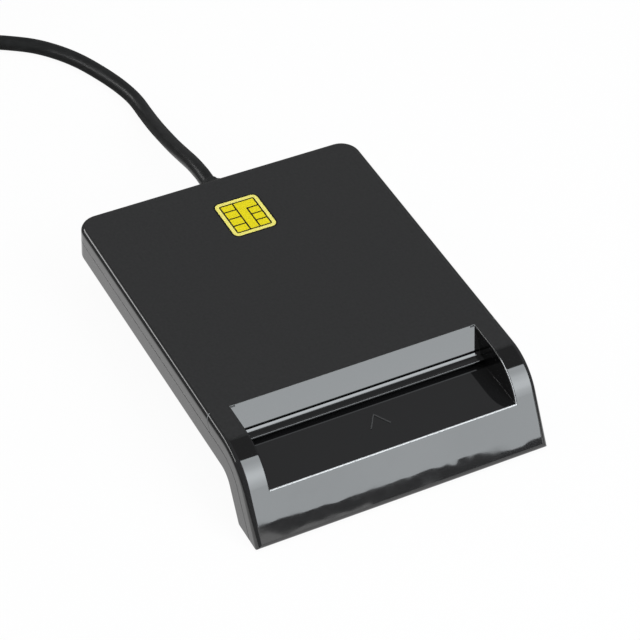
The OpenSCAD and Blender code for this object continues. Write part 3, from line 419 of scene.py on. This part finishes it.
begin_piece("slot_lip")
first_y, first_z = lip_section[0]
last_y = lip_section[-1][0]
bpy.ops.transform.resize(value=(2 * lip_hw, (last_y - first_y) * mm, 1))
bpy.ops.transform.translate(value=(0, (last_y + first_y) / 2 * mm, first_z * mm))
choose(lambda place: place.y < first_y * mm + near)
for (y0, z0), (y1, z1) in zip(lip_section, lip_section[1:]):
    step = (0, (y1 - y0) * mm, (z1 - z0) * mm)
    bpy.ops.mesh.extrude_region_move(TRANSFORM_OT_translate={"value": step})
choose(lambda place: place.y > last_y * mm - near)
bpy.ops.mesh.edge_face_add()
for side in (-1, 1):
    choose(lambda place: place.x * side > lip_hw - near)
    bpy.ops.mesh.edge_face_add()
bpy.ops.mesh.select_all(action="SELECT")
bpy.ops.mesh.normals_make_consistent(inside=False)
lip_plastic = cover_plastic("lip_plastic", (0.006, 0.006, 0.0063), lip_edge_r, right_lean=lip_lean)
slot_lip = end_piece(lip_plastic)


# Chip symbol: screen printed on the top plate in two yellow inks over a black ground, each a raised
# film of ink. A pale border goes round eight pads that black lines part.
def ink(name, colour, gloss):
    """Screen-printed ink: an even film with the faint mottle of the mesh."""
    material, start = new_material(name)
    mottle = start.noise(0.25 * mm, 2.0)
    shade(start, {
        "Base Color": mottle.between([c * 0.93 for c in colour] + [1], [*colour, 1]),
        "Roughness": gloss + 0.1 * mottle,
        "IOR": 1.45,
    }, mottle, 0.003 * mm)
    return material


def fit_plane(left, right, front, rear, height):
    """Sizes the selected unit plane and puts it between these edges."""
    bpy.ops.transform.resize(value=(right - left, rear - front, 1))
    bpy.ops.transform.translate(value=((left + right) / 2, (front + rear) / 2, height))


def round_corners(radius):
    bpy.ops.mesh.bevel(offset=radius, segments=corner_segments, affect="VERTICES")


def raise_film(thickness):
    """Gives the selected flat faces a thickness, straight up, and closes the film below."""
    bpy.ops.mesh.select_all(action="SELECT")
    bpy.ops.mesh.extrude_region_move(TRANSFORM_OT_translate={"value": (0, 0, thickness)})
    bpy.ops.mesh.select_all(action="SELECT")
    bpy.ops.mesh.normals_make_consistent(inside=False)


chip_left, chip_right = -4.75 * mm, 5.5 * mm
chip_front, chip_rear = 25.0 * mm, 36.3 * mm
chip_corner_r = 1.3 * mm
corner_segments = 8
border_w = 0.85 * mm
line_w = 0.36 * mm
film_t = 0.012 * mm

begin_piece("chip_ground")
fit_plane(chip_left - line_w, chip_right + line_w, chip_front - line_w, chip_rear + line_w, top_z)
round_corners(chip_corner_r + line_w)
raise_film(film_t)
end_piece(ink("ink_black", (0.004, 0.004, 0.004), 0.3))

begin_piece("chip_border")
fit_plane(chip_left, chip_right, chip_front, chip_rear, top_z + film_t)
round_corners(chip_corner_r)
bpy.ops.mesh.inset(thickness=border_w)
bpy.ops.mesh.delete(type="FACE")
raise_film(film_t)
end_piece(ink("ink_pale_yellow", (0.95, 0.86, 0.2), 0.35))

# Four pads on the left, three on the right and the stem between them, as shares of the field inside
# the border: left, right, rear and front edge. The stem has an arm to the right along the rear.
pad_shares = [
    (0.0, 0.38, 0.0, 0.23), (0.0, 0.38, 0.23, 0.49), (0.0, 0.38, 0.49, 0.75),
    (0.0, 0.38, 0.75, 1.0), (0.665, 1.0, 0.285, 0.52), (0.665, 1.0, 0.52, 0.76),
    (0.665, 1.0, 0.76, 1.0),
]
stem_shares = (0.38, 0.665, 0.0, 1.0)
arm_front_share = 0.285
field_left = chip_left + border_w + line_w / 2
field_right = chip_right - border_w - line_w / 2
field_front = chip_front + border_w + line_w / 2
field_rear = chip_rear - border_w - line_w / 2
field_w = field_right - field_left
field_l = field_rear - field_front


def fit_pad(left, right, rear, front):
    """Puts the selected unit plane on one pad's place, drawn in by half a line all round."""
    half = line_w / 2
    fit_plane(
        field_left + left * field_w + half, field_left + right * field_w - half,
        field_rear - front * field_l + half, field_rear - rear * field_l - half, top_z + film_t,
    )


arm_front = field_rear - arm_front_share * field_l + line_w / 2
stem_right = field_left + stem_shares[1] * field_w - line_w / 2
arm_length = field_right - line_w / 2 - stem_right

begin_piece("chip_pads")
fit_pad(*stem_shares)
bpy.ops.mesh.bisect(plane_co=(0, arm_front, top_z), plane_no=(0, 1, 0))
choose(lambda place: place.x > stem_right - near and place.y > arm_front - near)
bpy.ops.mesh.extrude_region_move(TRANSFORM_OT_translate={"value": (arm_length, 0, 0)})
bpy.ops.mesh.select_all(action="DESELECT")
for shares in pad_shares:
    bpy.ops.mesh.primitive_plane_add(size=1)
    fit_pad(*shares)
    bpy.ops.mesh.select_all(action="DESELECT")
raise_film(film_t)
end_piece(ink("ink_yellow", (0.88, 0.75, 0.007), 0.3))


# Arrow: a thin raised line on the recess floor that shows which way the card goes in. It is part of
# the top cover's moulding and has its plastic, in a lighter grey that is a painted highlight.
arrow_tip = Vector((0.2, -29.4)) * mm
arrow_ends = (Vector((-2.1, -32.8)) * mm, Vector((2.3, -32.9)) * mm)
arrow_w = 0.32 * mm
arrow_h = 0.2 * mm
arrow_edge_r, arrow_sheen_r = 0.1 * mm, 0.04 * mm
floor_z = 10.5 * mm

begin_piece("card_arrow")
bpy.ops.mesh.delete(type="VERT")
for end in arrow_ends:
    way = arrow_tip - end
    middle = (arrow_tip + end) / 2
    bpy.ops.mesh.primitive_plane_add(size=1)
    bpy.ops.transform.resize(value=(arrow_w, way.length + arrow_w / 2, 1))
    turn = math.atan2(way.x, way.y)
    bpy.ops.transform.rotate(value=turn, orient_axis="Z", center_override=(0, 0, 0))
    bpy.ops.transform.translate(value=(middle.x, middle.y, floor_z))
    bpy.ops.mesh.select_all(action="DESELECT")
raise_film(arrow_h)
choose(lambda place: place.z > floor_z + arrow_h / 2)
bpy.ops.mesh.bevel(offset=arrow_edge_r, segments=2, affect="EDGES")
# The arrow's grey, far lighter than the cover's black, paints in the highlights along its edges.
card_arrow = end_piece(cover_plastic("arrow_painted_sheen", (0.05, 0.05, 0.051), arrow_sheen_r))


# Screws, contacts and crystal: zinc-plated steel screws, springs, tails and plug contacts of
# gold-plated bronze, and the crystal's drawn steel can.
def plated_metal(name, colour, gloss, streak):
    """Plated metal: a faint mottle in the plating and fine marks from forming."""
    material, start = new_material(name)
    mottle = start.noise(streak, 3.0, 0.6)
    shade(start, {
        "Base Color": mottle.between([c * 0.85 for c in colour] + [1], [*colour, 1]),
        "Metallic": 1.0,
        "Roughness": gloss + 0.15 * mottle,
    }, mottle, streak / 60)
    return material


zinc = plated_metal("screw_zinc", (0.62, 0.62, 0.64), 0.25, 0.5 * mm)
dress(zinc, "housing_screws", "board_screws")
gold = plated_metal("contact_gold", (0.9, 0.62, 0.22), 0.15, 0.4 * mm)
dress(gold, "contact_tails", "usb_contacts", *(f"contact_{i}" for i in range(1, 9)))
dress(plated_metal("can_silver", (0.7, 0.7, 0.72), 0.2, 0.8 * mm), "crystal")


# Board: green solder mask over fibreglass. Copper tracks show through it as lighter green lines
# that run along the board in some areas and across it in others, with plain copper between them.
# The tracks' pitch, width and length, and the areas' cells, are in millimetres.
track_pitch, track_w, track_run = 0.9, 0.1, 9.0
area_cell, area_scale = 2.7, 0.09
lengthwise_from, crosswise_to = 0.49, 0.43
mask_green, copper_green = (0.006, 0.07, 0.028, 1), (0.014, 0.13, 0.048, 1)
copper_t = 0.03 * mm


def solder_mask(name):
    material, start = new_material(name)
    x, y = start.axis("X"), start.axis("Y")

    def tracks(along, across, offset):
        """Thin parallel tracks, with a step from one track to the next here and there."""
        place = start.node("CombineXYZ", (), {0: along, 1: across})
        settings = {"offset": offset, "squash": 0.6, "squash_frequency": 3}
        inputs = {
            "Vector": place, "Scale": 1.0, "Mortar Size": track_w, "Mortar Smooth": 0.2,
            "Brick Width": track_run, "Row Height": track_pitch,
        }
        return start.node("TexBrick", settings, inputs, "Fac")

    corner = {0: start.maths("SNAP", x, area_cell), 1: start.maths("SNAP", y, area_cell)}
    cell = start.node("CombineXYZ", (), corner)
    area = start.node("TexNoise", (), {"Vector": cell, "Scale": area_scale, "Detail": 1.0})
    lengthwise = start.maths("GREATER_THAN", area, lengthwise_from)
    crosswise = start.maths("LESS_THAN", area, crosswise_to)
    plain = 1 - lengthwise - crosswise
    copper = lengthwise * tracks(y, x, 0.37) + crosswise * tracks(x, y, 0.61) + plain
    weave = start.noise(0.3 * mm, 2.0)
    shade(start, {
        "Base Color": copper.between(mask_green, copper_green),
        "Roughness": 0.28 + 0.1 * weave,
        "IOR": 1.5,
    }, copper + 0.2 * weave, copper_t)
    return material


dress(solder_mask("board_green"), "main_board")


# Inner mouldings: contact block, switch, chip, wire socket and its plug, and the ceramic chips on
# the board, each in its own plastic, and the four leads in theirs.
def moulded_plastic(name, colour, gloss, grain):
    """Plain moulded plastic with a fine grain and a slight change of shade along the flow."""
    material, start = new_material(name)
    speckle = start.noise(grain, 3.0, 0.6)
    flow = start.noise(5 * mm, 2.0)
    shade(start, {
        "Base Color": flow.between([c * 0.88 for c in colour] + [1], [*colour, 1]),
        "Roughness": gloss + 0.12 * speckle,
        "IOR": 1.5,
    }, speckle, grain / 20)
    return material


dress(moulded_plastic("block_black", (0.02, 0.02, 0.022), 0.42, 0.15 * mm), "contact_block")
dress(moulded_plastic("switch_cream", (0.78, 0.74, 0.6), 0.4, 0.15 * mm), "switch_base")
dress(moulded_plastic("lever_red", (0.45, 0.03, 0.02), 0.35, 0.15 * mm), "switch_lever")
dress(moulded_plastic("chip_black", (0.018, 0.018, 0.02), 0.5, 0.08 * mm), "reader_chip")
dress(moulded_plastic("passive_tan", (0.42, 0.3, 0.18), 0.45, 0.1 * mm), "board_passives")
header_white = moulded_plastic("header_white", (0.8, 0.78, 0.7), 0.38, 0.15 * mm)
dress(header_white, "wire_header", "wire_plug")
lead_colours = {
    "lead_red": (0.5, 0.012, 0.01), "lead_white": (0.78, 0.77, 0.73),
    "lead_green": (0.015, 0.22, 0.05), "lead_black": (0.012, 0.012, 0.013),
}
for lead, colour in lead_colours.items():
    dress(cable_jacket(lead, colour, 0.3), lead)


# Plug and tie: a black moulded grip, a shell of nickel-plated sheet steel and a white tongue, and
# the nylon tie round the coil.
dress(moulded_plastic("tie_nylon", (0.014, 0.014, 0.014), 0.4, 0.2 * mm), "cord_tie")
dress(moulded_plastic("grip_black", (0.013, 0.0135, 0.0138), 0.36, 0.25 * mm), "usb_grip")
dress(plated_metal("shell_nickel", (0.72, 0.71, 0.69), 0.16, 1.5 * mm), "usb_shell")
dress(moulded_plastic("tongue_white", (0.82, 0.82, 0.8), 0.35, 0.15 * mm), "usb_tongue")


# Studio: a table of white paper, a tall softbox in front on the right that is brightest in its
# middle over a low white board, a wide low lamp on the left and a small one behind, a dark card
# above that the bend mirrors, and a fill light overhead that no surface mirrors.
#
# The housing's half width and half length in millimetres, between which distances from it the
# mirrored paper fades, and the shares of its light that it lacks near the housing and then loses.
paper_near, paper_fade = (34, 45), (22, 40)
near_loss, far_loss = 0.2, 0.65
paper_white = (0.92, 0.92, 0.92, 1)


def white_paper(name, seen_share):
    """Paper that takes the object's shadow, of which the camera sees only a faint one. Mirroring
    surfaces see it lit close to the housing and dark further off, and a camera below it sees
    through it."""
    material, start = new_material(name)
    mirrored = start.node("LightPath", output="Is Glossy Ray")
    from_camera = start.node("LightPath", output="Is Camera Ray")
    seen = from_camera * seen_share + mirrored
    beside = start.maths("ABSOLUTE", start.axis("X")) - paper_near[0]
    before = start.maths("ABSOLUTE", start.axis("Y")) - paper_near[1]
    away = start.maths("MAXIMUM", beside, before).ramp(*paper_fade)
    brightness = 1 - mirrored * (near_loss + far_loss * away)
    lit = start.node("BsdfDiffuse", (), {"Color": paper_white})
    glow = start.node("Emission", (), {"Color": (1, 1, 1, 1), "Strength": brightness})
    paper = start.node("MixShader", (), {0: seen, 1: lit, 2: glow})
    below = start.node("NewGeometry", output="Backfacing") * from_camera
    clear = start.node("BsdfTransparent")
    surface = start.node("MixShader", (), {0: below, 1: paper, 2: clear})
    start.node("OutputMaterial", (), {"Surface": surface})
    return material


table_w, table_drop, paper_glow = 3, 0.02 * mm, 0.95

bpy.ops.object.select_all(action="DESELECT")
bpy.ops.mesh.primitive_plane_add(size=table_w)
bpy.ops.object.mode_set(mode="EDIT")
bpy.ops.transform.translate(value=(0, 0, -table_drop))
bpy.ops.object.mode_set(mode="OBJECT")
table = bpy.context.object
table.name = "table_top"
table.data.materials.append(white_paper("white_paper", paper_glow))

world = bpy.data.worlds.new("studio")
scene.world = world
world.use_nodes = True
world.node_tree.nodes.clear()
sky = Wire(world.node_tree)
room_grey, backdrop_white = (0.2, 0.202, 0.206, 1), (1, 1, 1, 1)
room = sky.node("LightPath", output="Is Camera Ray").between(room_grey, backdrop_white)
background = sky.node("Background", (), {"Color": room, "Strength": 1.0})
sky.node("OutputWorld", (), {"Surface": background})


def sheet(name, corners):
    """A flat sheet that the camera doesn't see, from its corners: upper left, upper right, lower
    right, lower left."""
    begin_piece(name)
    for (x, y), corner in zip(((-0.5, 0.5), (0.5, 0.5), (0.5, -0.5), (-0.5, -0.5)), corners):
        unit_corner = Vector((x, y, 0))
        choose(lambda place: (place - unit_corner).length < near)
        bpy.ops.transform.translate(value=Vector(corner) - unit_corner)
    bpy.ops.object.mode_set(mode="OBJECT")
    made = bpy.context.object
    made.visible_camera = False
    return made


def glow_cloth(name, colour, edge, more=0.0, low=0.0, high=1.0):
    """Lit cloth of a radiance at its edges, and more towards the middle between two heights."""
    material, start = new_material(name)
    height = start.axis("Z") * mm
    middle = (low + high) / 2
    rise = height.ramp(low, middle) - height.ramp(middle, high)
    unevenness = 0.2 * edge * (start.noise(0.12, 2.0) - 0.5)
    strength = edge + more * rise + unevenness
    glow = start.node("Emission", (), {"Color": colour, "Strength": strength})
    start.node("OutputMaterial", (), {"Surface": glow})
    return material


front_softbox = sheet("front_softbox", (
    (0.076, -0.254, 0.737), (0.576, -0.254, 0.715), (0.576, -0.80, 0.169), (0.076, -0.80, 0.201),
))
softbox_cloth = glow_cloth("softbox_cloth", (0.92, 0.97, 1, 1), 3.35, more=1.8, low=0.2, high=0.66)
front_softbox.data.materials.append(softbox_cloth)

low_board = sheet("low_board", (
    (-0.1, -0.80, 0.209), (0.9, -0.80, 0.129), (0.9, -0.80, 0.005), (-0.1, -0.80, 0.005),
))
low_board.data.materials.append(glow_cloth("board_white", (1, 1, 1, 1), 1.1))

dark_card = sheet("dark_card", (
    (0.01, 0.44, 0.9), (0.71, 0.44, 0.9), (0.71, -0.28, 0.9), (0.01, -0.28, 0.9),
))
dark_card.data.materials.append(glow_cloth("card_black", (1, 1, 1, 1), 0.11))
dark_card.visible_diffuse = dark_card.visible_shadow = False


def lamp(name, place, aim, width, height, radiance, mirrored=True):
    """A lit rectangle of a radiance, where 1 is white, that the camera doesn't see."""
    data = bpy.data.lights.new(name, "AREA")
    data.shape = "RECTANGLE"
    data.size = width
    data.size_y = height
    data.energy = radiance * math.pi * width * height
    box = bpy.data.objects.new(name, data)
    scene.collection.objects.link(box)
    way = (Vector(aim) - Vector(place)).normalized()
    box.rotation_mode = "QUATERNION"
    box.rotation_quaternion = way.to_track_quat("-Z", "Y")
    box.location = place
    box.visible_camera = False
    box.visible_glossy = mirrored


lamp("left_lamp", (-0.67, 0.42, 0.42), (0.0, -0.03, 0.01), 1.05, 0.1, 4.5)
lamp("rear_lamp", (-0.46, 0.655, 0.43), (0.0, 0.0, 0.01), 0.3, 0.28, 0.9)
lamp("fill_light", (-0.1, 0.0, 1.3), (0.0, 0.0, 0.0), 1.2, 1.2, 1.45, mirrored=False)
